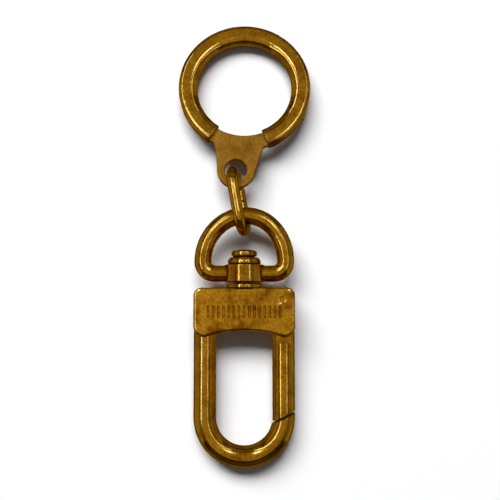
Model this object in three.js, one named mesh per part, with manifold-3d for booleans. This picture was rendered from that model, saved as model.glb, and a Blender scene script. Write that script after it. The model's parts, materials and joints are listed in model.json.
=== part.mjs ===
// A key holder in brass, laid flat on a table: a snap clasp with a sprung gate, a bow that
// swivels on the clasp, an oval link, and a key ring that turns in its own plate to open.
// Millimetres. X runs across the clasp, Y from the hook's bend to the key ring, Z up.
import * as THREE from "three";
import { mergeVertices } from "three/addons/utils/BufferGeometryUtils.js";
import Module from "manifold-3d";

const wasm = await Module();
wasm.setup();

// Fits
const GAP = 0.3; // between pieces that face each other
const STACK_GAP = 0.2; // between the rings stacked on the stud
const PIN_GAP = 0.25; // round each pin, in its bore

// Hook and gate, in the clasp's own frame: y = 0 at the bottom of the bend, x = 0 on the stud
const ROD_R = 2.75;
const LEG_X = 9.65;
const BEND_Y = LEG_X + ROD_R;
const MOUTH_Y = 12.47; // where the slanted mouth crosses the gate's centre line
const MOUTH_SLOPE = THREE.MathUtils.degToRad(25.5);
const MOUTH_GAP = 0.45;
const TONGUE_THICK = 4.2; // each leg's top is milled flat, front and back
const GATE_FLAT_Y = 30.2; // where the gate's flats start, in sight below the housing
const HOOK_FLAT_Y = 34.6; // the hook's flats start inside the housing

// Housing
const HOUSING_HALF_WIDTH = 12.35;
const HOUSING_BOTTOM = 31.85;
const HOUSING_TOP = 43.85;
const HOUSING_THICK = 7;
const HOUSING_TOP_R = 2;
const HOUSING_FOOT_R = 2.5;
const HOUSING_RISE = 1.5; // how far the lower edge arches up in the middle
const HOUSING_EDGE = 0.5; // rounding of the outer edges
const TOP_WALL = 0.8;
const FACE_WALL = 1.1; // front and back; the sides are open
const PIN_Y = 40;
const PIN_R = 1;
const PIN_SEAT = 0.5; // depth of the blind seat in the front wall

// Core block, spring and plunger
const CORE_LEFT = -6.5;
const CORE_RIGHT = 3.3;
const CORE_BOTTOM = 33.6;
const SPRING_Y = 36;
const SPRING_BORE_R = 1.3;
const SPRING_BORE_END = -4.5;
const SPRING_WIRE_R = 0.2;
const SPRING_TURNS = 6;
const SPRING_START = -4.2;
const SPRING_END = 1.3;
const PLUNGER_R = 1.05;

// Swivel: each ring's lowest and highest y, and its radius
const STUD_R = 1.5;
const STUD_BOTTOM = 38.25;
const STUD_HEAD = { bottom: 51.55, top: 53.4, radius: 3.17 };
const COLLAR = { bottom: HOUSING_TOP + STACK_GAP, top: 45, radius: 4.4 };
const BARREL = { bottom: 45.2, top: 49.56, radius: 4.86 };
const DOME = { bottom: 49.76, top: 51.35, radius: 4.08 };

// Bow
const BOW_ROD_R = 2.1;
const BOW_FOOT_Y = 47.35; // centre line of the straight foot
const BOW_CORNER_R = 3;
const BOW_HALF_WIDTH = 10.25; // centre line
const BOW_APEX_Y = 61.8;
const TENON_R = 1.3;
const TENON_END = 2.2;

// Link, its long axis on its own Y and its width on its own Z
const LINK_WIRE_R = 1.375;
const LINK_LENGTH = 17.9;
const LINK_WIDTH = 11.4;
const LINK_CUT = 0.2;

// Key plate and ring, round the ring's centre, with the eye on -Y
const RING_OUTER_R = 17.1;
const RING_INNER_R = 12.1;
const RING_THICK = 3.6;
const RING_OUTER_CORNER = 1.4;
const RING_INNER_CORNER = 1.75;
const RING_SLOT_R = 12.65; // radius of the slot's floor
const RING_MOUTH = THREE.MathUtils.degToRad(27); // half the angle left open at the plate
const PLATE_THICK = 1.5;
const PLATE_INNER_R = 13;
const PLATE_OUTER_R = 16.75;
const PLATE_ARM = THREE.MathUtils.degToRad(99);
const NECK_ANGLE = THREE.MathUtils.degToRad(22);
const EYE_Y = -22.1;
const EYE_R = 2.8;
const EYE_RIM_R = 4.8;

// How the pieces lie on the table
const CLASP_TILT = THREE.MathUtils.degToRad(2.85); // on the bend and on the barrel
const CLASP_LIFT = 2.61;
const LINK_CENTRE = [-1.42, 65.4, 5.66];
const LINK_ROLL = THREE.MathUtils.degToRad(9.6);
const LINK_LEAN = THREE.MathUtils.degToRad(10);
const RING_CENTRE = [0, 95.4, 2.95];
const RING_TILT = THREE.MathUtils.degToRad(4.2);
const RING_TURN = THREE.MathUtils.degToRad(5.5);

const FULL_TURN = 2 * Math.PI;
const QUARTER = Math.PI / 2;

const POLISHED = { color: 0x9a6c14, roughness: 0.22, metalness: 1 };
const WORN = { color: 0xa06a1c, roughness: 0.45, metalness: 1 };
const STEEL = { color: 0x8d8f93, roughness: 0.35, metalness: 1 };

function piece(name, geometry, look = POLISHED) {
  const mesh = new THREE.Mesh(geometry, new THREE.MeshStandardMaterial(look));
  mesh.name = name;
  return mesh;
}

function solidOf(geometry) {
  const bare = geometry.clone();
  bare.deleteAttribute("normal");
  bare.deleteAttribute("uv");
  const merged = mergeVertices(bare, 1e-4);
  const mesh = new wasm.Mesh({
    numProp: 3,
    vertProperties: new Float32Array(merged.attributes.position.array),
    triVerts: new Uint32Array(merged.index.array),
  });
  return new wasm.Manifold(mesh);
}

function geometryOf(solid) {
  const mesh = solid.getMesh();
  const geometry = new THREE.BufferGeometry();
  geometry.setAttribute("position", new THREE.BufferAttribute(mesh.vertProperties, 3));
  geometry.setIndex(new THREE.BufferAttribute(mesh.triVerts, 1));
  geometry.computeVertexNormals();
  return geometry;
}

// A round bar centred on (x, y, z), lying along one axis.
function bar(axis, radius, length, [x, y, z], sides = 24) {
  const geometry = new THREE.CylinderGeometry(radius, radius, length, sides);
  if (axis === "x") geometry.rotateZ(-QUARTER);
  if (axis === "z") geometry.rotateX(QUARTER);
  return geometry.translate(x, y, z);
}

function box([x0, y0, z0], [x1, y1, z1]) {
  const geometry = new THREE.BoxGeometry(x1 - x0, y1 - y0, z1 - z0);
  return geometry.translate((x0 + x1) / 2, (y0 + y1) / 2, (z0 + z1) / 2);
}

// A piece turned about Y, from a closed profile of [radius, y] pairs.
function turned(profile, segments = 32) {
  const points = profile.map(([radius, y]) => new THREE.Vector2(radius, y));
  return new THREE.LatheGeometry([...points, points[0].clone()], segments);
}

function rod(path, radius, sides, steps) {
  const section = new THREE.Shape();
  for (let i = 0; i < sides; i++) {
    const angle = (i / sides) * FULL_TURN;
    section.lineTo(radius * Math.cos(angle), radius * Math.sin(angle));
  }
  return new THREE.ExtrudeGeometry(section, { extrudePath: path, steps });
}

// An arc of an ellipse in the XY plane.
class Arc extends THREE.Curve {
  constructor(centre, radii, from, to) {
    super();
    Object.assign(this, { centre, radii, from, to });
  }

  getPoint(t, target = new THREE.Vector3()) {
    const angle = this.from + (this.to - this.from) * t;
    const x = this.centre[0] + this.radii[0] * Math.cos(angle);
    const y = this.centre[1] + this.radii[1] * Math.sin(angle);
    return target.set(x, y, 0);
  }
}

function line(from, to) {
  return new THREE.LineCurve3(new THREE.Vector3(...from, 0), new THREE.Vector3(...to, 0));
}

function pathOf(...curves) {
  const path = new THREE.CurvePath();
  curves.forEach((curve) => path.add(curve));
  return path;
}

// The half of space on one side of the slanted mouth, half the mouth's gap away from its middle.
function mouthSide(side) {
  const reach = 12;
  const half = MOUTH_GAP / 2;
  const low = side > 0 ? -half : -reach;
  const high = side > 0 ? reach : half;
  const slab = box([-reach, low, -reach], [reach, high, reach]);
  return solidOf(slab.rotateZ(MOUTH_SLOPE).translate(LEG_X, MOUTH_Y, 0));
}

// Cuts a leg's round top down to a flat tongue with a pin bore, from one height upwards.
function milled(leg, x, flatY) {
  const half = TONGUE_THICK / 2;
  const top = PIN_Y + 2 * ROD_R;
  const front = box([x - 2 * ROD_R, flatY, half], [x + 2 * ROD_R, top, 2 * ROD_R]);
  const back = box([x - 2 * ROD_R, flatY, -2 * ROD_R], [x + 2 * ROD_R, top, -half]);
  const bore = bar("z", PIN_R + PIN_GAP, HOUSING_THICK, [x, PIN_Y, 0]);
  return leg.subtract(solidOf(front)).subtract(solidOf(back)).subtract(solidOf(bore));
}

// The round end of a tongue: a slice as thick as the rod, centred on the pin.
function tongueEnd(x) {
  const end = bar("z", ROD_R, TONGUE_THICK, [x, PIN_Y, 0], 28);
  return solidOf(end);
}

function hook() {
  const path = pathOf(
    line([-LEG_X, PIN_Y], [-LEG_X, BEND_Y]),
    new Arc([0, BEND_Y], [LEG_X, LEG_X], Math.PI, FULL_TURN),
    line([LEG_X, BEND_Y], [LEG_X, MOUTH_Y + ROD_R]),
  );
  const bent = solidOf(rod(path, ROD_R, 14, 36)).subtract(mouthSide(1));
  return geometryOf(milled(bent.add(tongueEnd(-LEG_X)), -LEG_X, HOOK_FLAT_Y));
}

function gate() {
  const low = MOUTH_Y - ROD_R;
  const middle = (low + PIN_Y) / 2;
  const straight = solidOf(bar("y", ROD_R, PIN_Y - low, [LEG_X, middle, 0]));
  const leg = straight.subtract(mouthSide(-1)).add(tongueEnd(LEG_X));
  return geometryOf(milled(leg, LEG_X, GATE_FLAT_Y));
}

// The housing's outline: rounded corners and a lower edge that arches up between two feet.
function housingOutline(shape) {
  const side = HOUSING_HALF_WIDTH - HOUSING_EDGE;
  const top = HOUSING_TOP - HOUSING_EDGE;
  const bottom = HOUSING_BOTTOM + HOUSING_EDGE;
  const topR = HOUSING_TOP_R - HOUSING_EDGE;
  const footR = HOUSING_FOOT_R - HOUSING_EDGE;
  const span = side - footR;
  shape.moveTo(side, bottom + footR);
  shape.absarc(side - topR, top - topR, topR, 0, QUARTER);
  shape.absarc(topR - side, top - topR, topR, QUARTER, Math.PI);
  shape.absarc(-span, bottom + footR, footR, Math.PI, 3 * QUARTER);
  shape.quadraticCurveTo(0, bottom + 2 * HOUSING_RISE, span, bottom);
  shape.absarc(span, bottom + footR, footR, -QUARTER, 0);
  return shape;
}

function housing() {
  const depth = HOUSING_THICK - 2 * HOUSING_EDGE;
  const block = new THREE.ExtrudeGeometry(housingOutline(new THREE.Shape()), {
    depth,
    curveSegments: 6,
    bevelSize: HOUSING_EDGE,
    bevelThickness: HOUSING_EDGE,
    bevelSegments: 2,
  });
  block.translate(0, 0, -depth / 2);
  const inside = HOUSING_THICK / 2 - FACE_WALL;
  const past = HOUSING_HALF_WIDTH + GAP;
  const low = HOUSING_BOTTOM - GAP;
  const cavity = box([-past, low, -inside], [past, HOUSING_TOP - TOP_WALL, inside]);
  const seatTop = HOOK_FLAT_Y + GAP;
  const hookSeat = bar("y", ROD_R + GAP, seatTop - low, [-LEG_X, (seatTop + low) / 2, 0]);
  const back = -HOUSING_THICK / 2 - GAP;
  const seat = inside + PIN_SEAT;
  let shell = solidOf(block).subtract(solidOf(cavity)).subtract(solidOf(hookSeat));
  for (const x of [-LEG_X, LEG_X]) {
    const bore = bar("z", PIN_R + PIN_GAP, seat - back, [x, PIN_Y, (seat + back) / 2]);
    shell = shell.subtract(solidOf(bore));
  }
  const studBore = bar("y", STUD_R + GAP, 4, [0, HOUSING_TOP, 0]);
  return geometryOf(shell.subtract(solidOf(studBore)));
}

function housingPin(x) {
  const back = -HOUSING_THICK / 2 + 0.05;
  const front = HOUSING_THICK / 2 - FACE_WALL + PIN_SEAT - 0.2;
  return bar("z", PIN_R, front - back, [x, PIN_Y, (front + back) / 2]);
}

function coreBlock() {
  const half = HOUSING_THICK / 2 - FACE_WALL - GAP;
  const top = HOUSING_TOP - TOP_WALL - GAP;
  const plain = box([CORE_LEFT, CORE_BOTTOM, -half], [CORE_RIGHT, top, half]);
  const studBore = bar("y", STUD_R + GAP, 10, [0, STUD_BOTTOM - GAP + 5, 0]);
  const springLength = CORE_RIGHT + 1 - SPRING_BORE_END;
  const springBore = bar("x", SPRING_BORE_R, springLength, [
    SPRING_BORE_END + springLength / 2,
    SPRING_Y,
    0,
  ]);
  return geometryOf(solidOf(plain).subtract(solidOf(studBore)).subtract(solidOf(springBore)));
}

// The gate spring: a helix about the X axis.
class Helix extends THREE.Curve {
  getPoint(t, target = new THREE.Vector3()) {
    const radius = PLUNGER_R - SPRING_WIRE_R;
    const angle = t * SPRING_TURNS * FULL_TURN;
    const x = SPRING_START + (SPRING_END - SPRING_START) * t;
    return target.set(x, SPRING_Y + radius * Math.cos(angle), radius * Math.sin(angle));
  }
}

function gateSpring() {
  return rod(new Helix(), SPRING_WIRE_R, 5, SPRING_TURNS * 10);
}

// The plunger: a round-nosed pin between the spring and the gate's tongue.
function gatePlunger() {
  const tail = SPRING_END + GAP;
  const nose = LEG_X - ROD_R - GAP;
  const shape = new THREE.Shape();
  shape.moveTo(0, tail);
  shape.lineTo(PLUNGER_R, tail);
  shape.absarc(0, nose - PLUNGER_R, PLUNGER_R, 0, QUARTER);
  const geometry = new THREE.LatheGeometry(shape.getPoints(3), 16);
  return geometry.rotateZ(-QUARTER).translate(0, SPRING_Y, 0);
}

// The stud: a shaft screwed into the core block, with a low domed head.
function stud() {
  const { bottom, top, radius } = STUD_HEAD;
  const profile = [
    [0, STUD_BOTTOM],
    [STUD_R, STUD_BOTTOM],
    [STUD_R, bottom],
    [radius - 0.3, bottom],
    [radius, bottom + 0.4],
    [radius, top - 0.8],
    [radius - 0.5, top - 0.3],
    [0, top],
  ];
  return new THREE.LatheGeometry(profile.map(([x, y]) => new THREE.Vector2(x, y)), 32);
}

function collar() {
  const { bottom, top, radius } = COLLAR;
  const bore = STUD_R + GAP;
  return turned([
    [bore, bottom],
    [radius, bottom],
    [radius, top - 0.25],
    [radius - 0.25, top],
    [bore, top],
  ]);
}

function domeWasher() {
  const { bottom, top, radius } = DOME;
  const bore = STUD_R + GAP;
  return turned([
    [bore, bottom],
    [radius, bottom],
    [radius - 0.1, bottom + 0.4],
    [radius - 0.4, bottom + 0.85],
    [radius - 0.95, top],
    [bore, top],
  ]);
}

function barrel() {
  const { bottom, top, radius } = BARREL;
  const bore = STUD_R + GAP;
  const body = turned([
    [bore, bottom],
    [radius - 0.2, bottom],
    [radius, bottom + 0.2],
    [radius, top - 0.2],
    [radius - 0.2, top],
    [bore, top],
  ]);
  const crossBore = bar("x", TENON_R + GAP, 4 * radius, [0, BOW_FOOT_Y, 0]);
  return geometryOf(solidOf(body).subtract(solidOf(crossBore)));
}

// The bow: a bent rod whose two feet are notched round the barrel and turned down to tenons.
function bow() {
  const cornerX = BOW_HALF_WIDTH - BOW_CORNER_R;
  const cornerY = BOW_FOOT_Y + BOW_CORNER_R;
  const corner = [BOW_CORNER_R, BOW_CORNER_R];
  const arch = [BOW_HALF_WIDTH, BOW_APEX_Y - cornerY];
  const path = pathOf(
    line([STUD_R, BOW_FOOT_Y], [cornerX, BOW_FOOT_Y]),
    new Arc([cornerX, cornerY], corner, -QUARTER, 0),
    new Arc([0, cornerY], arch, 0, Math.PI),
    new Arc([-cornerX, cornerY], corner, Math.PI, 3 * QUARTER),
    line([-cornerX, BOW_FOOT_Y], [-STUD_R, BOW_FOOT_Y]),
  );
  const notch = bar("y", BARREL.radius + GAP, 4 * BOW_ROD_R, [0, BOW_FOOT_Y, 0], 40);
  let bent = solidOf(rod(path, BOW_ROD_R, 12, 44)).subtract(solidOf(notch));
  const length = BARREL.radius + 1 - TENON_END;
  for (const side of [-1, 1]) {
    const middle = side * (TENON_END + length / 2);
    bent = bent.add(solidOf(bar("x", TENON_R, length, [middle, BOW_FOOT_Y, 0], 20)));
  }
  return geometryOf(bent);
}

// The link: one length of wire bent to an oval, its ends meeting in the middle of one side.
function link() {
  const radius = LINK_WIDTH / 2 - LINK_WIRE_R;
  const half = LINK_LENGTH / 2 - LINK_WIRE_R - radius;
  const ends = LINK_CUT / 2;
  const path = pathOf(
    line([radius, ends], [radius, half]),
    new Arc([0, half], [radius, radius], 0, Math.PI),
    line([-radius, half], [-radius, -half]),
    new Arc([0, -half], [radius, radius], Math.PI, FULL_TURN),
    line([radius, -half], [radius, -ends]),
  );
  return rod(path, LINK_WIRE_R, 10, 32).rotateY(QUARTER);
}

// The key plate: an eye, a neck, and two arms that the ring slides over.
function keyPlate() {
  const right = -QUARTER + PLATE_ARM;
  const left = -QUARTER - PLATE_ARM;
  const shape = new THREE.Shape();
  shape.absarc(0, 0, PLATE_OUTER_R, right, -QUARTER + NECK_ANGLE, true);
  shape.lineTo(EYE_RIM_R + 0.9, EYE_Y + 4.1);
  shape.absarc(0, EYE_Y, EYE_RIM_R, 0, Math.PI, true);
  shape.lineTo(-EYE_RIM_R - 0.9, EYE_Y + 4.1);
  shape.absarc(0, 0, PLATE_OUTER_R, -QUARTER - NECK_ANGLE, left, true);
  shape.absarc(0, 0, PLATE_INNER_R, left, right, false);
  shape.closePath();
  const eye = new THREE.Path();
  eye.absarc(0, EYE_Y, EYE_R, 0, FULL_TURN);
  shape.holes.push(eye);
  const options = { depth: PLATE_THICK, bevelEnabled: false, curveSegments: 18 };
  return new THREE.ExtrudeGeometry(shape, options).translate(0, 0, -PLATE_THICK / 2);
}

// The key ring: a channel, open outwards, bent into an open circle.
function ringSleeve() {
  const half = RING_THICK / 2;
  const slot = PLATE_THICK / 2 + GAP;
  const outer = RING_OUTER_R - RING_OUTER_CORNER;
  const inner = RING_INNER_R + RING_INNER_CORNER;
  const flat = half - RING_INNER_CORNER;
  const lip = Math.asin((slot - half + RING_OUTER_CORNER) / RING_OUTER_CORNER);
  const section = new THREE.Shape();
  section.moveTo(RING_SLOT_R, slot);
  section.lineTo(outer + RING_OUTER_CORNER * Math.cos(lip), slot);
  section.absarc(outer, half - RING_OUTER_CORNER, RING_OUTER_CORNER, lip, QUARTER);
  section.absarc(inner, flat, RING_INNER_CORNER, QUARTER, Math.PI);
  section.absarc(inner, -flat, RING_INNER_CORNER, Math.PI, 3 * QUARTER);
  section.absarc(outer, RING_OUTER_CORNER - half, RING_OUTER_CORNER, -QUARTER, -lip);
  section.lineTo(RING_SLOT_R, -slot);
  section.closePath();
  const full = new THREE.LatheGeometry(section.getPoints(2), 72).rotateX(QUARTER);
  const reach = 2 * RING_OUTER_R;
  const wedge = new THREE.Shape();
  wedge.lineTo(-reach * Math.sin(RING_MOUTH), -reach * Math.cos(RING_MOUTH));
  wedge.lineTo(reach * Math.sin(RING_MOUTH), -reach * Math.cos(RING_MOUTH));
  const cut = new THREE.ExtrudeGeometry(wedge, { depth: 4 * half, bevelEnabled: false });
  return geometryOf(solidOf(full).subtract(solidOf(cut.translate(0, 0, -2 * half))));
}

function claspGroup() {
  const group = new THREE.Group();
  group.rotation.x = CLASP_TILT;
  group.position.z = CLASP_LIFT;
  group.add(
    piece("housing", housing()),
    piece("core_block", coreBlock(), WORN),
    piece("hook", hook()),
    piece("hook_pin", housingPin(-LEG_X), WORN),
    piece("gate", gate()),
    piece("gate_pin", housingPin(LEG_X), STEEL),
    piece("gate_plunger", gatePlunger(), STEEL),
    piece("gate_spring", gateSpring(), STEEL),
    piece("swivel_stud", stud()),
    piece("stud_collar", collar()),
    piece("swivel_barrel", barrel()),
    piece("dome_washer", domeWasher()),
    piece("swivel_bow", bow()),
  );
  return group;
}

function linkGroup() {
  const group = new THREE.Group();
  group.rotation.set(0, -LINK_ROLL, LINK_LEAN, "ZYX");
  group.position.set(...LINK_CENTRE);
  group.add(piece("oval_link", link()));
  return group;
}

function ringGroup() {
  const group = new THREE.Group();
  group.rotation.set(-RING_TILT, 0, -RING_TURN);
  group.position.set(...RING_CENTRE);
  group.add(piece("key_plate", keyPlate(), WORN), piece("ring_sleeve", ringSleeve()));
  return group;
}

const keyHolder = new THREE.Group();
const laidOut = new THREE.Group();
laidOut.add(claspGroup(), linkGroup(), ringGroup());
keyHolder.add(laidOut);

// The frame's origin is the middle of the underside of the whole object's box.
const whole = new THREE.Box3().setFromObject(keyHolder, true);
const middle = whole.getCenter(new THREE.Vector3());
laidOut.position.set(-middle.x, -middle.y, -whole.min.z);

export default keyHolder;
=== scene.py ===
"""The looks of the key holder: a snap clasp, a swivel bow, an oval link and a key ring, in worn
polished brass, lying on a pale table under soft studio light. Each piece is built in millimetres
in the frame of the part that it belongs to, and that frame comes from the joints."""

import json
import math

import bmesh
import bpy
from mathutils import Matrix, Vector

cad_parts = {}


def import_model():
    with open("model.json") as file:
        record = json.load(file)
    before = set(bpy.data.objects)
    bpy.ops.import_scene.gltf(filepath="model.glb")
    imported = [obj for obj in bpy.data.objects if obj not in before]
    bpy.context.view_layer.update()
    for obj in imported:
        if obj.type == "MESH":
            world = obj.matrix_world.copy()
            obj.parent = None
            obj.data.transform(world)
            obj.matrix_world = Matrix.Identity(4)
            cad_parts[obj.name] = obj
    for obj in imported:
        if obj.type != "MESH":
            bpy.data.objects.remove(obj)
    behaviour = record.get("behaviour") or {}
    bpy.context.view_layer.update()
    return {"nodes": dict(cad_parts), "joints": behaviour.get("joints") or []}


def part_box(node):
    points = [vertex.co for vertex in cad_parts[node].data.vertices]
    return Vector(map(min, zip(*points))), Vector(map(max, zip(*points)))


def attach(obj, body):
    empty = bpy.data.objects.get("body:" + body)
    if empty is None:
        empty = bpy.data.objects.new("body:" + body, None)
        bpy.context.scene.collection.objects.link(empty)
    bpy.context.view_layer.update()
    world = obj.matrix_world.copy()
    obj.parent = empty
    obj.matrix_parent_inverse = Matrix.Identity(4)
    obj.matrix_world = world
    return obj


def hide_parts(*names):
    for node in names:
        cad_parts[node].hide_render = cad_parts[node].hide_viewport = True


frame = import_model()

MM = 0.001
TURN = 2 * math.pi
JOINTS = {joint["name"]: joint for joint in frame["joints"]}

# Hook, gate and housing (y = 0 at the bottom of the bend, x = 0 on the stud)
ROD_R = 2.75
LEG_X = 9.65
BEND_Y = LEG_X + ROD_R
MOUTH_Y = 12.47
MOUTH_SLOPE = math.radians(25.5)
MOUTH_GAP = 0.6
GATE_FLAT_Y = 30.2
HOOK_FLAT_Y = 34.5
FLAT_HALF = 2.1
CUT_EDGE = 0.14
PIN_Y = 40.0
PIN_R = 1.0
HOUSING_HALF_WIDTH = 12.35
HOUSING_BOTTOM = 31.85
HOUSING_TOP = 43.85
HOUSING_HALF_THICK = 3.5
HOUSING_INSIDE = 2.4
HOUSING_TOP_R = 2.0
HOUSING_FOOT_R = 2.5
FOOT_SWEEP = math.radians(17.3)
TOP_WALL = 0.8

# Swivel (the same x and y as the clasp)
STUD_R = 1.5
STUD_BOTTOM = 38.25
COLLAR_R = 4.4
COLLAR_BOTTOM = 43.87
COLLAR_TOP = 44.88
BARREL_R = 4.86
BARREL_BOTTOM = 45.22
BARREL_TOP = 49.56
DOME_R = 4.08
DOME_BOTTOM = 49.78
DOME_TOP = 51.38
HEAD_R = 3.17
HEAD_BOTTOM = 51.55
HEAD_TOP = 53.4
BOW_ROD_R = 2.12
BOW_FOOT_R = 2.0
BOW_FOOT_Y = 47.35
BOW_CORNER_R = 3.0
BOW_HALF_WIDTH = 10.25
BOW_APEX_Y = 61.8
BOW_LEAN = 0.35  # how far the top of the arch sits to the right

# Link
LINK_WIRE_R = 1.375
LINK_LENGTH = 17.9
LINK_WIDTH = 11.4
LINK_CUT = 0.2
LINK_CUT_Y = 0.45
LINK_ROLL = math.radians(9.6)
LINK_LEAN = math.radians(10)

# Ring and plate
RING_OUTER_R = 17.1
RING_INNER_R = 12.1
RING_HALF_THICK = 1.8
RING_SLOT_R = 12.65
RING_SLOT_HALF = 1.0
RING_MOUTH = math.radians(27)
RING_TURN = math.radians(5.5)
PLATE_HALF_THICK = 0.75
PLATE_INNER_R = 12.95
PLATE_OUTER_R = 16.7
PLATE_ARM = math.radians(99)
NECK_ANGLE = math.radians(22)
EYE_Y = -22.1
EYE_R = 2.8
EYE_RIM_R = 4.8


# ---------------------------------------------------------------- frames


def frame_of(origin, y_axis, z_axis):
    """The matrix from a part's own millimetres to the model's frame in metres."""
    z = Vector(z_axis).normalized()
    x = Vector(y_axis).cross(z).normalized()
    y = z.cross(x)
    turn = Matrix((x, y, z)).transposed().to_4x4()
    return Matrix.Translation(origin) @ turn @ Matrix.Scale(MM, 4)


def clasp_frame():
    swivel = JOINTS["bow_swivel"]
    up = Vector(swivel["axis"])
    origin = Vector(swivel["pos_m"]) - up * BOW_FOOT_Y * MM
    return frame_of(origin, up, -Vector(JOINTS["gate_hinge"]["axis"]))


def link_frame():
    low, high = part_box("oval_link")
    lean = Matrix.Rotation(LINK_LEAN, 4, "Z") @ Matrix.Rotation(-LINK_ROLL, 4, "Y")
    return Matrix.Translation((low + high) / 2) @ lean @ Matrix.Scale(MM, 4)


def ring_frame():
    turn = JOINTS["ring_turn"]
    normal = Vector(turn["axis"])
    across = Vector((1, 0, 0))
    flat = frame_of(turn["pos_m"], normal.cross(across), normal)
    return flat @ Matrix.Rotation(-RING_TURN, 4, "Z")


CLASP = clasp_frame()
LINK = link_frame()
RING = ring_frame()


# ---------------------------------------------------------------- mesh helpers


def clean_object(name, mesh):
    """An object of the mesh, with doubled vertices merged and every face turned outwards."""
    work = bmesh.new()
    work.from_mesh(mesh)
    bmesh.ops.remove_doubles(work, verts=work.verts, dist=1e-4)
    bmesh.ops.recalc_face_normals(work, faces=work.faces)
    work.to_mesh(mesh)
    work.free()
    piece = bpy.data.objects.new(name, mesh)
    bpy.context.scene.collection.objects.link(piece)
    return piece


def mesh_object(name, verts, faces):
    mesh = bpy.data.meshes.new(name)
    mesh.from_pydata([tuple(v) for v in verts], [], faces)
    return clean_object(name, mesh)


def rod_of_rings(name, rings):
    """A closed rod, from outlines of equal size one after the other along it."""
    count, size = len(rings), len(rings[0])
    verts = [v for ring in rings for v in ring]
    faces = [tuple(range(size)), tuple((count - 1) * size + j for j in range(size))]
    for i in range(count - 1):
        for j in range(size):
            k = (j + 1) % size
            faces.append((i * size + j, i * size + k, (i + 1) * size + k, (i + 1) * size + j))
    return mesh_object(name, verts, faces)


def apply_modifiers(piece):
    depsgraph = bpy.context.evaluated_depsgraph_get()
    mesh = bpy.data.meshes.new_from_object(piece.evaluated_get(depsgraph))
    piece.modifiers.clear()
    piece.data = mesh


def cut(piece, *cutters):
    """Takes the cutters' shapes out of the piece, and removes the cutters."""
    for cutter in cutters:
        modifier = piece.modifiers.new("cut", "BOOLEAN")
        modifier.operation = "DIFFERENCE"
        modifier.solver = "EXACT"
        modifier.object = cutter
        apply_modifiers(piece)
        bpy.data.objects.remove(cutter)
    return piece


def soften(piece, width):
    """Rounds the sharp edges left by cutting."""
    modifier = piece.modifiers.new("soften", "BEVEL")
    modifier.width = width
    modifier.segments = 2
    modifier.angle_limit = math.radians(40)
    apply_modifiers(piece)
    return piece


def box(low, high):
    (x0, y0, z0), (x1, y1, z1) = low, high
    verts = [(x, y, z) for x in (x0, x1) for y in (y0, y1) for z in (z0, z1)]
    faces = [(0, 1, 3, 2), (4, 6, 7, 5), (0, 4, 5, 1), (2, 3, 7, 6), (0, 2, 6, 4), (1, 5, 7, 3)]
    return mesh_object("cutter", verts, faces)


def bar(axis, radius, centre, half_length, sides=48):
    """A round bar along one axis, for cutting."""
    verts = []
    for end in (-half_length, half_length):
        for i in range(sides):
            u = radius * math.cos(i / sides * TURN)
            v = radius * math.sin(i / sides * TURN)
            offset = {"x": (end, u, v), "y": (u, end, v), "z": (u, v, end)}[axis]
            verts.append(Vector(centre) + Vector(offset))
    faces = [tuple(range(sides)), tuple(range(sides, 2 * sides))]
    faces += [(i, (i + 1) % sides, sides + (i + 1) % sides, sides + i) for i in range(sides)]
    return mesh_object("cutter", verts, faces)


def circle(radius, sides):
    angles = [i / sides * TURN for i in range(sides)]
    return [(radius * math.cos(a), radius * math.sin(a)) for a in angles]


def arc(centre, radius, start, end, steps):
    """Points on an arc of a circle, or of an ellipse where radius is a pair."""
    rx, ry = radius if isinstance(radius, tuple) else (radius, radius)
    angles = [start + (end - start) * i / steps for i in range(steps + 1)]
    return [(centre[0] + rx * math.cos(a), centre[1] + ry * math.sin(a)) for a in angles]


def smooth(share):
    """Eases a share of 0 to 1 in and out."""
    return share * share * (3 - 2 * share)


def straight(start, end, steps):
    return [tuple(Vector(start).lerp(Vector(end), i / steps)) for i in range(steps + 1)]


def chain(*runs):
    """Joins runs of points end to end, and drops each point that repeats the last one."""
    points = []
    for run in runs:
        for point in run:
            if not points or (Vector(point) - Vector(points[-1])).length > 1e-6:
                points.append(point)
    return points


def sweep(name, path, section):
    """A rod along a flat path: section(i, share) gives its outline there, as (outward, z) pairs."""
    rings = []
    count = len(path)
    for i, point in enumerate(path):
        ahead = Vector(path[min(i + 1, count - 1)]) - Vector(path[max(i - 1, 0)])
        tangent = ahead.normalized()
        side = Vector((tangent.y, -tangent.x))
        outline = section(i, i / (count - 1))
        rings.append([(point[0] + side.x * u, point[1] + side.y * u, z) for u, z in outline])
    return rod_of_rings(name, rings)


def turned(name, profile, segments=128):
    """A piece turned about Y, from (radius, y) pairs that go round it once, or from axis to axis."""
    on_axis = profile[0][0] == 0
    verts = []
    for i in range(segments):
        c, s = math.cos(i / segments * TURN), math.sin(i / segments * TURN)
        verts += [(r * c, y, r * s) for r, y in profile]
    size = len(profile)
    last = size - 1 if on_axis else size
    faces = []
    for i in range(segments):
        a, b = i * size, (i + 1) % segments * size
        faces += [(a + j, a + (j + 1) % size, b + (j + 1) % size, b + j) for j in range(last)]
    return mesh_object(name, verts, faces)


def rounded(corners, steps=8):
    """An outline with round corners, from (x, y, radius) triples."""
    points = []
    count = len(corners)
    for i, (x, y, radius) in enumerate(corners):
        here = Vector((x, y))
        if radius == 0:
            points.append((x, y))
            continue
        before = (Vector(corners[i - 1][:2]) - here).normalized()
        after = (Vector(corners[(i + 1) % count][:2]) - here).normalized()
        half = before.angle(after) / 2
        reach = radius / math.tan(half)
        start, end = here + before * reach, here + after * reach
        middle = here + (before + after).normalized() * radius / math.sin(half)
        for j in range(steps + 1):
            spoke = start.lerp(end, j / steps) - middle
            points.append(tuple(middle + spoke.normalized() * radius))
    return points


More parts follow.
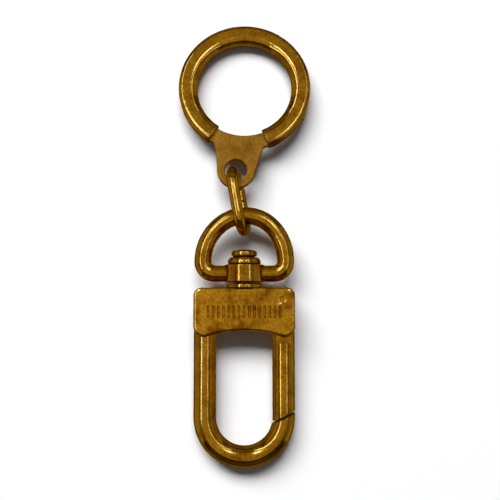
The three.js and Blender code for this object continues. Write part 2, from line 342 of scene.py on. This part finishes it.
def inset(points, amount):
    """The outline moved in by amount, or by a list of amounts, where it runs anticlockwise."""
    amounts = amount if isinstance(amount, list) else [amount] * len(points)
    moved = []
    count = len(points)
    for i in range(count):
        here = Vector(points[i])
        a = (here - Vector(points[i - 1])).normalized()
        b = (Vector(points[(i + 1) % count]) - here).normalized()
        inward = Vector((-a.y - b.y, a.x + b.x)).normalized()
        stretch = max(0.5, inward.dot(Vector((-a.y, a.x))))
        moved.append(tuple(here + inward * amounts[i] / stretch))
    return moved


def slab(name, outline, holes, half_thick, edge, marks=(), steps=8):
    """A flat piece with rounded edges. outline runs anticlockwise, holes clockwise.
    edge(x, y) is how far in and how far down the rounding goes there. marks are outlines sunk
    into the front, as (points, depth, narrowing)."""
    wall_depth, wall_narrowing = 0.8, 0.75  # shares of a mark's whole depth and narrowing
    work = bmesh.new()

    def loop(points, z):
        heights = z if isinstance(z, list) else [z] * len(points)
        return [work.verts.new((x, y, height)) for (x, y), height in zip(points, heights)]

    def skin(lower, upper):
        count = len(lower)
        for j in range(count):
            k = (j + 1) % count
            work.faces.new((lower[j], lower[k], upper[k], upper[j]))

    def edges_of(ring):
        found = []
        for j, vert in enumerate(ring):
            pair = (vert, ring[(j + 1) % len(ring)])
            found.append(work.edges.get(pair) or work.edges.new(pair))
        return found

    front, back = [], []
    for points in [outline, *holes]:
        roundings = [edge(x, y) for x, y in points]
        rings = []
        for side in (-1, 1):
            quarter = [i / steps * math.pi / 2 for i in range(steps + 1)]
            for a in quarter if side > 0 else reversed(quarter):
                depths = [reach * (1 - math.cos(a)) for reach, drop in roundings]
                heights = [side * (half_thick - drop * (1 - math.sin(a))) for reach, drop in roundings]
                rings.append(loop(inset(points, depths), heights))
        for lower, upper in zip(rings, rings[1:]):
            skin(lower, upper)
        back += edges_of(rings[0])
        front += edges_of(rings[-1])
    for points, depth, narrowing in marks:
        rim = loop(points, half_thick)
        wall = loop(inset(points, narrowing * wall_narrowing), half_thick - depth * wall_depth)
        floor = loop(inset(points, narrowing), half_thick - depth)
        skin(rim, wall)
        skin(wall, floor)
        work.faces.new(floor)
        front += edges_of(rim)
    bmesh.ops.triangle_fill(work, use_beauty=True, edges=front)
    bmesh.ops.triangle_fill(work, use_beauty=True, edges=back)
    mesh = bpy.data.meshes.new(name)
    work.to_mesh(mesh)
    work.free()
    return clean_object(name, mesh)


def finish(piece, place, body, nodes, material, sharp=35):
    """Puts a finished piece in the model's frame, on its body, in its material."""
    piece.data.transform(place)
    piece.data.shade_smooth()
    piece.data.set_sharp_from_angle(angle=math.radians(sharp))
    weighted = piece.modifiers.new("weighted", "WEIGHTED_NORMAL")
    weighted.keep_sharp = True
    weighted.weight = 100
    apply_modifiers(piece)
    piece.data.materials.clear()
    piece.data.materials.append(material)
    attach(piece, body)
    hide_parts(*nodes)
    return piece


# ---------------------------------------------------------------- materials


class Shader:
    """A short way to write a node material."""

    def __init__(self, name):
        self.material = bpy.data.materials.new(name)
        self.material.use_nodes = True
        self.tree = self.material.node_tree
        self.surface = self.tree.nodes["Principled BSDF"]

    def node(self, kind, inputs=None, **settings):
        made = self.tree.nodes.new(kind)
        for key, value in settings.items():
            setattr(made, key, value)
        for key, value in (inputs or {}).items():
            if isinstance(value, bpy.types.NodeSocket):
                self.tree.links.new(value, made.inputs[key])
            else:
                made.inputs[key].default_value = value
        return made

    def place(self, scale=(1, 1, 1), turn=(0, 0, 0)):
        where = self.node("ShaderNodeTexCoord").outputs["Object"]
        inputs = {"Vector": where, "Scale": scale, "Rotation": turn}
        return self.node("ShaderNodeMapping", inputs).outputs["Vector"]

    def noise(self, vector, scale, detail, rough):
        inputs = {"Vector": vector, "Scale": scale, "Detail": detail, "Roughness": rough}
        return self.node("ShaderNodeTexNoise", inputs).outputs["Fac"]

    def ramp(self, value, *stops):
        made = self.node("ShaderNodeValToRGB", {"Fac": value})
        elements = made.color_ramp.elements
        while len(elements) < len(stops):
            elements.new(0.5)
        for element, (position, colour) in zip(elements, stops):
            element.position = position
            shade = colour if isinstance(colour, tuple) else (colour,) * 3
            element.color = (*shade, 1)
        return made.outputs["Color"]

    def mix(self, share, a, b):
        made = self.node("ShaderNodeMix", data_type="RGBA")
        for index, value in ((0, share), (6, a), (7, b)):
            if isinstance(value, bpy.types.NodeSocket):
                self.tree.links.new(value, made.inputs[index])
            elif index == 0:
                made.inputs[index].default_value = value
            else:
                made.inputs[index].default_value = (*value, 1)
        return made.outputs[2]

    def maths(self, operation, a, b):
        return self.node("ShaderNodeMath", {0: a, 1: b}, operation=operation).outputs[0]

    def bump(self, height, distance, strength, normal=None):
        inputs = {"Height": height, "Distance": distance, "Strength": strength}
        if normal is not None:
            inputs["Normal"] = normal
        return self.node("ShaderNodeBump", inputs).outputs["Normal"]

    def connect(self, **sockets):
        names = {"base": "Base Color", "rough": "Roughness", "normal": "Normal"}
        for key, value in sockets.items():
            self.tree.links.new(value, self.surface.inputs[names[key]])


def brass(name, light, dark, rough, scratch=0.3, pits=0.0):
    """Aged brass. Every noise scale is per metre, and every bump distance is in metres."""
    shader = Shader(name)
    shader.surface.inputs["Metallic"].default_value = 1.0
    shader.surface.inputs["Specular Tint"].default_value = (0.6, 0.48, 0.3, 1)
    where = shader.place()

    # Cloudy tarnish, with small stains over it
    clouds = shader.noise(where, 240, 5, 0.65)
    brightest = tuple(c * 1.12 for c in light)
    tone = shader.ramp(clouds, (0.36, dark), (0.52, light), (0.68, brightest))
    old = tuple(c * k for c, k in zip(dark, (0.72, 0.6, 0.6)))
    stain = shader.ramp(shader.noise(where, 1500, 4, 0.6), (0.42, 1.0), (0.6, 0.0))
    tone = shader.mix(shader.maths("MULTIPLY", stain, 0.35), tone, old)

    # Painted shade: corners found by ambient occlusion are darkened in colour, and the same mask also
    # dulls them
    occlusion = shader.node("ShaderNodeAmbientOcclusion", {"Distance": 0.0012}, samples=8)
    shade_and_grime = shader.ramp(occlusion.outputs["AO"], (0.25, 1.0), (0.75, 0.0))
    # Painted shade: the occluded corners' colour is pulled towards near black
    tone = shader.mix(shader.maths("MULTIPLY", shade_and_grime, 0.75), tone, (0.04, 0.018, 0.004))
    low, high = rough
    polish = shader.ramp(shader.noise(where, 420, 4, 0.6), (0.35, low), (0.65, high))
    polish = shader.mix(shader.maths("MULTIPLY", shade_and_grime, 0.6), polish, (0.6, 0.6, 0.6))

    # Fine scratches two ways, and grain
    along = shader.noise(shader.place((1, 0.06, 1), (0.1, 0, 0.35)), 9000, 2, 0.5)
    across = shader.noise(shader.place((0.05, 1, 1), (0, 0.2, 0.2)), 7000, 2, 0.5)
    height = shader.maths("MULTIPLY", shader.maths("MULTIPLY", along, across), scratch)
    grain = shader.noise(where, 5200, 3, 0.6)
    height = shader.maths("ADD", height, shader.maths("MULTIPLY", grain, 0.15))
    if pits:
        holes = shader.ramp(shader.noise(where, 2300, 3, 0.5), (0.3, 0.0), (0.42, 1.0))
        height = shader.maths("ADD", height, shader.maths("MULTIPLY", holes, pits))
        tone = shader.mix(holes, old, tone)

    # A slight unevenness of the whole surface, under the scratches
    wobble = shader.bump(shader.noise(where, 300, 3, 0.5), 0.00016, 0.4)
    shader.connect(base=tone, rough=polish, normal=shader.bump(height, 0.00003, 0.6, wobble))
    return shader.material


def steel(name):
    """Drawn steel, satin, with lines along its length."""
    shader = Shader(name)
    shader.surface.inputs["Metallic"].default_value = 1.0
    drawn = shader.noise(shader.place((0.05, 1, 1)), 6000, 3, 0.6)
    tone = shader.ramp(drawn, (0.3, (0.32, 0.31, 0.3)), (0.7, (0.52, 0.52, 0.53)))
    polish = shader.ramp(drawn, (0.3, 0.25), (0.7, 0.42))
    shader.connect(base=tone, rough=polish, normal=shader.bump(drawn, 0.00002, 0.4))
    return shader.material


def table_top():
    shader = Shader("table_top")
    shader.surface.inputs["Base Color"].default_value = (0.88, 0.88, 0.88, 1)
    shader.surface.inputs["Roughness"].default_value = 0.85
    shader.surface.inputs["Specular IOR Level"].default_value = 0.1
    return shader.material


POLISHED = brass("polished_brass", (0.69, 0.32, 0.012), (0.44, 0.17, 0.004), (0.08, 0.17))
FACE = brass("clouded_brass", (0.86, 0.4, 0.018), (0.38, 0.13, 0.002), (0.08, 0.16), 0.5)
WORN = brass("worn_brass", (0.46, 0.18, 0.004), (0.32, 0.115, 0.002), (0.34, 0.5), 0.7, 1.2)
INNER = brass("inner_brass", (0.5, 0.28, 0.05), (0.36, 0.19, 0.03), (0.3, 0.45), 0.8)
STEEL = steel("spring_steel")


# ---------------------------------------------------------------- clasp


def mouth_cutter(side):
    """Everything on one side of the slanted mouth."""
    reach = 12
    half = MOUTH_GAP / 2
    low, high = (-half, reach) if side > 0 else (-reach, half)
    cutter = box((-reach, low, -reach), (reach, high, reach))
    turn = Matrix.Rotation(MOUTH_SLOPE, 4, "Z")
    cutter.data.transform(Matrix.Translation((LEG_X, MOUTH_Y, 0)) @ turn)
    return cutter


def flats(x, low):
    """The two cutters that mill a leg's top flat, front and back."""
    reach = 2 * ROD_R
    high = PIN_Y + reach
    front = box((x - reach, low, FLAT_HALF), (x + reach, high, reach))
    back = box((x - reach, low, -reach), (x + reach, high, -FLAT_HALF))
    return front, back


def leg_section(path):
    """The rod's section, which closes in to a round end above the pin."""
    thinnest = 0.02  # share of the rod's width left at the very end

    def section(i, share):
        rise = max(0.0, path[i][1] - PIN_Y)
        close = math.sqrt(max(thinnest ** 2, 1 - (rise / ROD_R) ** 2))
        return [(u * close, z) for u, z in circle(ROD_R, 48)]

    return section


def round_end(x, steps=10):
    """Points from the pin up to the leg's round end."""
    return [(x, PIN_Y + ROD_R * math.sin(i / steps * math.pi / 2)) for i in range(steps + 1)]


def hook():
    leg = chain(
        list(reversed(round_end(-LEG_X))),
        straight((-LEG_X, PIN_Y), (-LEG_X, BEND_Y), 60),
        arc((0, BEND_Y), LEG_X, math.pi, TURN, 90),
        straight((LEG_X, BEND_Y), (LEG_X, MOUTH_Y + ROD_R), 8),
    )
    rod = sweep("hook", leg, leg_section(leg))
    cut(rod, mouth_cutter(1), *flats(-LEG_X, HOOK_FLAT_Y))
    bore = bar("z", PIN_R + 0.05, (-LEG_X, PIN_Y, 0), 4)
    soften(cut(rod, bore), CUT_EDGE)
    return finish(rod, CLASP, "clasp", ["hook"], POLISHED)


def gate():
    low = MOUTH_Y - 2 * ROD_R
    leg = chain(straight((LEG_X, low), (LEG_X, PIN_Y), 60), round_end(LEG_X))
    rod = sweep("gate", leg, leg_section(leg))
    cut(rod, mouth_cutter(-1), *flats(LEG_X, GATE_FLAT_Y))
    bore = bar("z", PIN_R + 0.1, (LEG_X, PIN_Y, 0), 4)
    soften(cut(rod, bore), CUT_EDGE)
    return finish(rod, CLASP, "gate", ["gate"], POLISHED)


def housing_outline():
    side = HOUSING_HALF_WIDTH
    top_x, top_y = side - HOUSING_TOP_R, HOUSING_TOP - HOUSING_TOP_R
    foot_x, foot_y = side - HOUSING_FOOT_R, HOUSING_BOTTOM + HOUSING_FOOT_R
    arch_r = foot_x / math.sin(FOOT_SWEEP) - HOUSING_FOOT_R
    arch_y = foot_y - (arch_r + HOUSING_FOOT_R) * math.cos(FOOT_SWEEP)
    down = -math.pi / 2
    return chain(
        arc((foot_x, foot_y), HOUSING_FOOT_R, down - FOOT_SWEEP, 0, 14),
        straight((side, foot_y), (side, top_y), 8),
        arc((top_x, top_y), HOUSING_TOP_R, 0, math.pi / 2, 12),
        straight((top_x, HOUSING_TOP), (-top_x, HOUSING_TOP), 20),
        arc((-top_x, top_y), HOUSING_TOP_R, math.pi / 2, math.pi, 12),
        straight((-side, top_y), (-side, foot_y), 8),
        arc((-foot_x, foot_y), HOUSING_FOOT_R, math.pi, math.pi * 1.5 + FOOT_SWEEP, 14),
        arc((0, arch_y), arch_r, math.pi / 2 + FOOT_SWEEP, math.pi / 2 - FOOT_SWEEP, 40)[:-1],
    )


def reeds():
    """A row of plain upright strokes and one dimple pressed into the housing's front."""
    count, pitch = 15, 1.25
    half_width, half_height, middle = 0.3, 1.2, 38.0
    stroke_depth, stroke_narrowing = 0.3, 0.18
    dimple_centre, dimple_r = (9.3, 40.9), 1.0
    dimple_depth, dimple_narrowing = 0.14, 0.3
    marks = []
    for i in range(count):
        x = (i - (count - 1) / 2) * pitch
        points = chain(
            arc((x, middle - half_height), half_width, math.pi, TURN, 6),
            arc((x, middle + half_height), half_width, 0, math.pi, 6),
        )
        marks.append((points, stroke_depth, stroke_narrowing))
    dimple = arc(dimple_centre, dimple_r, 0, TURN, 24)[:-1]
    marks.append((dimple, dimple_depth, dimple_narrowing))
    return marks


def housing_edge(x, y):
    """The rounding goes further down along the arched lower edge than round the sides and top."""
    reach, drop, extra_drop = 0.85, 0.42, 0.45
    start, fade = HOUSING_BOTTOM + 3.2, 2.2
    return reach, drop + extra_drop * smooth(min(1.0, max(0.0, (start - y) / fade)))


def housing():
    block = slab("housing", housing_outline(), [], HOUSING_HALF_THICK, housing_edge, reeds())
    past = HOUSING_HALF_WIDTH + 1
    cavity = box(
        (-past, HOUSING_BOTTOM - 1, -HOUSING_INSIDE),
        (past, HOUSING_TOP - TOP_WALL, HOUSING_INSIDE),
    )
    seat = bar("y", ROD_R + 0.04, (-LEG_X, HOUSING_BOTTOM + 0.95, 0), 2)
    stud_bore = bar("y", STUD_R + 0.2, (0, HOUSING_TOP, 0), 2)
    pin_bores = [bar("z", PIN_R + 0.04, (x, PIN_Y, -2), 2) for x in (-LEG_X, LEG_X)]
    cut(block, cavity, seat, stud_bore, *pin_bores)
    return finish(block, CLASP, "clasp", ["housing"], FACE, 30)


def pin(name, x):
    """A plain pin, its back end peened to a low dome."""
    low, high = -HOUSING_HALF_THICK - 0.02, HOUSING_INSIDE + 0.3
    dome = [(PIN_R * math.sin(a), low + 0.12 * (1 - math.cos(a))) for a in (0, 0.4, 0.8, 1.2)]
    profile = dome + [(PIN_R, low + 0.15), (PIN_R, high - 0.1), (PIN_R - 0.1, high), (0, high)]
    made = turned(name, profile, 48)
    made.data.transform(Matrix.Translation((x, PIN_Y, 0)) @ Matrix.Rotation(math.pi / 2, 4, "X"))
    material, slot = (STEEL, "spring_steel") if name == "gate_pin" else (INNER, "inner_brass")
    return finish(made, CLASP, "clasp", [name], material)


# ---------------------------------------------------------------- swivel


def round_profile(bore, radius, bottom, top, low_edge, high_edge, steps=6):
    """The profile of a ring with round outer edges, from its bore outwards and back."""
    quarter = math.pi / 2
    lower = arc((radius - low_edge, bottom + low_edge), low_edge, -quarter, 0, steps)
    upper = arc((radius - high_edge, top - high_edge), high_edge, 0, quarter, steps)
    return chain([(bore, bottom)], lower, upper, [(bore, top)])


def collar():
    profile = round_profile(STUD_R + 0.1, COLLAR_R, COLLAR_BOTTOM, COLLAR_TOP, 0.1, 0.4)
    made = turned("stud_collar", profile)
    return finish(made, CLASP, "clasp", ["stud_collar"], POLISHED)


def barrel():
    profile = round_profile(STUD_R + 0.2, BARREL_R, BARREL_BOTTOM, BARREL_TOP, 0.3, 0.25)
    made = turned("swivel_barrel", profile)
    return finish(made, CLASP, "swivel", ["swivel_barrel"], POLISHED)


def dome_washer():
    bore, chamfer = STUD_R + 0.1, 0.12
    wall, dome = 0.3, 0.95
    shoulder_centre = (DOME_R - dome, DOME_BOTTOM + wall)
    shoulder = arc(shoulder_centre, (dome, DOME_TOP - DOME_BOTTOM - wall), 0, math.pi / 2, 12)
    foot = [(bore, DOME_BOTTOM), (DOME_R - chamfer, DOME_BOTTOM), (DOME_R, DOME_BOTTOM + chamfer)]
    made = turned("dome_washer", chain(foot, shoulder, [(bore, DOME_TOP)]))
    return finish(made, CLASP, "clasp", ["dome_washer"], POLISHED)


def stud():
    """A shaft in the core block, with a flat round head whose crown rises a little."""
    tip, crown_r, crown_rise = 0.2, 2.47, 0.33
    rim = arc((HEAD_R - 0.42, HEAD_BOTTOM + 0.5), (0.42, 0.45), -math.pi / 2, 0, 6)
    brow = arc((HEAD_R - 0.7, HEAD_TOP - 0.95), (0.7, 0.62), 0, math.pi / 2, 8)
    crown = [(r, HEAD_TOP - crown_rise * (r / crown_r) ** 2) for r in (1.9, 1.3, 0.7, 0.0)]
    shaft = [
        (0, STUD_BOTTOM),
        (STUD_R - tip, STUD_BOTTOM),
        (STUD_R, STUD_BOTTOM + tip),
        (STUD_R, HEAD_BOTTOM - 0.12),
        (HEAD_R - 0.9, HEAD_BOTTOM),
    ]
    made = turned("swivel_stud", chain(shaft, rim, brow, crown))
    return finish(made, CLASP, "clasp", ["swivel_stud"], POLISHED)


def bow():
    corner_x = BOW_HALF_WIDTH - BOW_CORNER_R
    corner_y = BOW_FOOT_Y + BOW_CORNER_R
    rise = BOW_APEX_Y - corner_y
    quarter = math.pi / 2
    into_barrel = 3.2
    foot_share = 0.16  # of the whole length, over which the rod thins towards each end
    path = chain(
        straight((into_barrel, BOW_FOOT_Y), (corner_x, BOW_FOOT_Y), 12),
        arc((corner_x, corner_y), BOW_CORNER_R, -quarter, 0, 24),
        arc((0, corner_y), (BOW_HALF_WIDTH, rise), 0, math.pi, 110),
        arc((-corner_x, corner_y), BOW_CORNER_R, math.pi, math.pi + quarter, 24),
        straight((-corner_x, BOW_FOOT_Y), (-into_barrel, BOW_FOOT_Y), 12),
    )
    path = [(x + BOW_LEAN * max(0.0, (y - corner_y) / rise) ** 2, y) for x, y in path]

    def section(i, share):
        foot = max(0.0, 1 - min(share, 1 - share) / foot_share)
        return circle(BOW_ROD_R + (BOW_FOOT_R - BOW_ROD_R) * smooth(foot), 48)

    made = sweep("swivel_bow", path, section)
    return finish(made, CLASP, "swivel", ["swivel_bow"], POLISHED)


# ---------------------------------------------------------------- link, plate and ring


def link():
    radius = LINK_WIDTH / 2 - LINK_WIRE_R
    half = LINK_LENGTH / 2 - LINK_WIRE_R - radius
    low, high = LINK_CUT_Y - LINK_CUT / 2, LINK_CUT_Y + LINK_CUT / 2
    chamfer, chamfer_length, chamfer_steps = 0.12, 0.15, 3
    path = chain(
        straight((radius, high), (radius, high + chamfer_length), chamfer_steps),
        straight((radius, high + chamfer_length), (radius, half), 10),
        arc((0, half), radius, 0, math.pi, 48),
        straight((-radius, half), (-radius, -half), 20),
        arc((0, -half), radius, math.pi, TURN, 48),
        straight((radius, -half), (radius, low - chamfer_length), 10),
        straight((radius, low - chamfer_length), (radius, low), chamfer_steps),
    )

    def section(i, share):
        from_end = min(i, len(path) - 1 - i)
        return circle(LINK_WIRE_R - chamfer * max(0, 1 - from_end / chamfer_steps), 40)

    made = sweep("oval_link", path, section)
    made.data.transform(Matrix.Rotation(math.pi / 2, 4, "Y"))
    return finish(made, LINK, "link", ["oval_link"], POLISHED)


def plate_outline():
    down = -math.pi / 2
    right, left = down + PLATE_ARM, down - PLATE_ARM
    neck_gap = 0.09  # radians left free for the neck's round corner
    outer, inner = PLATE_OUTER_R, PLATE_INNER_R

    def neck(side):
        angle = down + side * NECK_ANGLE
        return (outer * math.cos(angle), outer * math.sin(angle), 0.9)

    def plain(points):
        return [(x, y, 0) for x, y in points]

    corners = plain(arc((0, 0), outer, left, down - NECK_ANGLE - neck_gap, 60))
    corners += [neck(-1), (-EYE_RIM_R - 0.7, EYE_Y + 4.1, 3)]
    corners += plain(arc((0, EYE_Y), (EYE_RIM_R, EYE_RIM_R - 0.15), math.pi, TURN, 40))
    corners += [(EYE_RIM_R + 0.9, EYE_Y + 4.1, 3), neck(1)]
    corners += plain(arc((0, 0), outer, down + NECK_ANGLE + neck_gap, right, 60))
    corners += plain(arc((0, 0), inner, right, left, 140))
    return rounded(corners)


def plate_edge(x, y):
    """The plate's small rounding is the same all round."""
    reach, drop = 0.22, 0.16
    return reach, drop


def key_plate():
    eye = list(reversed(arc((0, EYE_Y), EYE_R, 0, TURN, 56)[:-1]))
    made = slab("key_plate", plate_outline(), [eye], PLATE_HALF_THICK, plate_edge, steps=4)
    return finish(made, RING, "plate", ["key_plate"], WORN)


def sleeve_section(shrink):
    """The channel's outline as (outward, z) pairs round the ring's circle, all pulled in by shrink."""
    outer_r, inner_r, inner_reach = 1.4, 1.75, 2.3
    half = RING_HALF_THICK
    outer, inner = RING_OUTER_R - outer_r, RING_INNER_R + inner_reach
    lip = 0.12
    quarter = math.pi / 2
    brink = math.asin((RING_SLOT_HALF + lip - half + outer_r) / outer_r)
    mouth = outer + outer_r * math.cos(brink)
    points = chain(
        [(RING_SLOT_R, RING_SLOT_HALF), (mouth - lip, RING_SLOT_HALF)],
        arc((outer, half - outer_r), outer_r, brink, quarter, 12),
        straight((outer, half), (inner, half), 8),
        arc((inner, half - inner_r), (inner_reach, inner_r), quarter, math.pi, 16),
        arc((inner, inner_r - half), (inner_reach, inner_r), math.pi, 3 * quarter, 16),
        straight((inner, -half), (outer, -half), 8),
        arc((outer, outer_r - half), outer_r, -quarter, -brink, 12),
        [(mouth - lip, -RING_SLOT_HALF), (RING_SLOT_R, -RING_SLOT_HALF)],
    )
    return inset(points, shrink) if shrink else points


def ring_knocks():
    """A nick across the front, a dent in the rim and a small pit, from years of keys."""
    front = RING_HALF_THICK

    def knock(axis, radius, from_centre, height, half_length, degrees):
        made = bar(axis, radius, (from_centre, 0, height), half_length, 16)
        made.data.transform(Matrix.Rotation(math.radians(degrees), 4, "Z"))
        return made

    nick = knock("x", 0.2, 15.65, front + 0.08, 0.7, 74.5)
    dent = knock("z", 0.28, 17.2, 0, 3, 4.5)
    pit = knock("z", 0.2, 15.6, front + 0.35, 0.5, 123)
    return nick, dent, pit


def ring_sleeve():
    """The channel swept round its circle up to the opening, with each end's edge rounded."""
    down = -math.pi / 2
    edge, edge_steps, turn_steps = 0.12, 3, 220
    tip = edge / ((RING_OUTER_R + RING_INNER_R) / 2)
    start, end = down + RING_MOUTH, down + TURN - RING_MOUTH
    eased = [i / edge_steps * math.pi / 2 for i in range(edge_steps)]
    long_turn = end - start - 2 * tip
    angles = [start + tip * (1 - math.cos(a)) for a in eased]
    angles += [start + tip + long_turn * i / turn_steps for i in range(turn_steps + 1)]
    angles += [end - tip * (1 - math.cos(a)) for a in reversed(eased)]
    rings = []
    for i, angle in enumerate(angles):
        from_end = min(i, len(angles) - 1 - i, edge_steps)
        shrink = edge * (1 - math.sin(from_end / edge_steps * math.pi / 2))
        c, s = math.cos(angle), math.sin(angle)
        rings.append([(r * c, r * s, z) for r, z in sleeve_section(shrink)])
    made = cut(rod_of_rings("ring_sleeve", rings), *ring_knocks())
    return finish(made, RING, "ring", ["ring_sleeve"], POLISHED)


# ---------------------------------------------------------------- inside the housing


def dress_inner_pieces():
    looks = {
        "core_block": (INNER, "inner_brass"),
        "gate_plunger": (STEEL, "spring_steel"),
        "gate_spring": (STEEL, "spring_steel"),
    }
    for name, (material, slot) in looks.items():
        node = frame["nodes"][name]
        node.data.materials.clear()
        node.data.materials.append(material)


# ---------------------------------------------------------------- stage, light and camera


def floor():
    reach = 5
    corners = [(-reach, -reach, 0), (reach, -reach, 0), (reach, reach, 0), (-reach, reach, 0)]
    plane = mesh_object("floor", corners, [(0, 1, 2, 3)])
    plane.data.materials.append(table_top())
    plane.visible_glossy = False


def aim(shown, target):
    """Puts a lamp or a camera in the scene, turned to its target, with its top towards +Y."""
    away = (shown.location - Vector(target)).normalized()
    across = Vector((0, 1, 0)).cross(away).normalized()
    turn = Matrix((across, away.cross(across), away)).transposed()
    shown.rotation_euler = turn.to_euler()
    bpy.context.scene.collection.objects.link(shown)


def area_light(name, place, target, size, radiance, shines_on, colour=(1, 1, 1)):
    """A rectangle of light, radiance being how bright it looks. The table is matt and the metal
    is all gloss, so shines_on keeps it to one of them."""
    lamp = bpy.data.lights.new(name, "AREA")
    lamp.shape = "RECTANGLE"
    lamp.size, lamp.size_y = size
    lamp.color = colour
    lamp.energy = radiance * math.pi * size[0] * size[1]
    shown = bpy.data.objects.new(name, lamp)
    shown.location = place
    shown.visible_glossy = shines_on == "metal"
    shown.visible_diffuse = shines_on == "floor"
    aim(shown, target)


def lights():
    centre = (0, 0, 0)
    cool = (0.085, 0.13, 1.0)  # brass gives back little blue, so this keeps its highlights pale
    area_light("key", (-0.85, 2.35, 2.7), centre, (3.7, 1.7), 12.0, "floor")
    area_light("strip_left", (-0.25, 0.12, 0.4), centre, (0.045, 0.6), 40, "metal", cool)
    area_light("strip_right", (0.25, 0.12, 0.4), centre, (0.035, 0.6), 18, "metal", cool)
    area_light("far_strip_left", (-0.12, 0.15, 0.42), centre, (0.05, 0.13), 52, "metal", cool)
    area_light("far_strip_right", (0.12, 0.15, 0.42), centre, (0.05, 0.13), 44, "metal", cool)
    area_light("ceiling", (0, 0.1, 0.6), (0, 0.1, 0), (1.5, 1.1), 0.17, "metal")
    area_light("panel_left", (-0.14, -0.12, 0.57), (-0.14, -0.12, 0), (0.25, 0.6), 0.17, "metal")
    area_light("panel_right", (0.13, -0.12, 0.57), (0.13, -0.12, 0), (0.22, 0.6), 0.15, "metal")
    area_light("wall_left", (-0.6, 0, 0.1), (0, 0, 0.1), (0.6, 1.0), 0.28, "metal")
    area_light("wall_right", (0.6, 0, 0.1), (0, 0, 0.1), (0.6, 1.0), 0.24, "metal")
    area_light("under", (0, 0, -0.05), centre, (1.2, 1.2), 0.17, "metal")
    area_light("wall_back", (0, 0.75, 0.25), (0, 0, 0.05), (1.1, 0.3), 0.14, "metal")
    area_light("wall_front", (0, -0.7, 0.25), (0, 0, 0.05), (1.1, 0.3), 0.06, "metal")


def world():
    """A dim room: lighter overhead and behind the key ring, dark towards the hook."""
    scene_world = bpy.data.worlds.new("room")
    scene_world.use_nodes = True
    bpy.context.scene.world = scene_world
    tree = scene_world.node_tree
    where = tree.nodes.new("ShaderNodeTexCoord").outputs["Generated"]
    facing = tree.nodes.new("ShaderNodeVectorMath")
    facing.operation = "DOT_PRODUCT"
    facing.inputs[1].default_value = Vector((0, 0.45, 0.89)).normalized()
    tree.links.new(where, facing.inputs[0])
    ramp = tree.nodes.new("ShaderNodeValToRGB")
    stops = ((0.0, 0.02), (0.5, 0.05), (0.8, 0.1), (1.0, 0.17))
    while len(ramp.color_ramp.elements) < len(stops):
        ramp.color_ramp.elements.new(0.5)
    for element, (position, grey) in zip(ramp.color_ramp.elements, stops):
        element.position = position
        element.color = (grey, grey, grey, 1)
    tree.links.new(facing.outputs["Value"], ramp.inputs["Fac"])
    tree.links.new(ramp.outputs["Color"], tree.nodes["Background"].inputs["Color"])


def camera():
    data = bpy.data.cameras.new("camera")
    data.sensor_width = 36
    data.lens = 54
    shown = bpy.data.objects.new("camera", data)
    shown.location = (0.00142, -0.02615, 0.19)
    aim(shown, (0.00142, -0.00295, 0.0045))
    bpy.context.scene.camera = shown


# ---------------------------------------------------------------- build


camera()
hook()
gate()
housing()
pin("hook_pin", -LEG_X)
pin("gate_pin", LEG_X)
collar()
barrel()
dome_washer()
stud()
bow()
link()
key_plate()
ring_sleeve()
dress_inner_pieces()
floor()
lights()
world()
bpy.context.scene.view_settings.view_transform = "Standard"
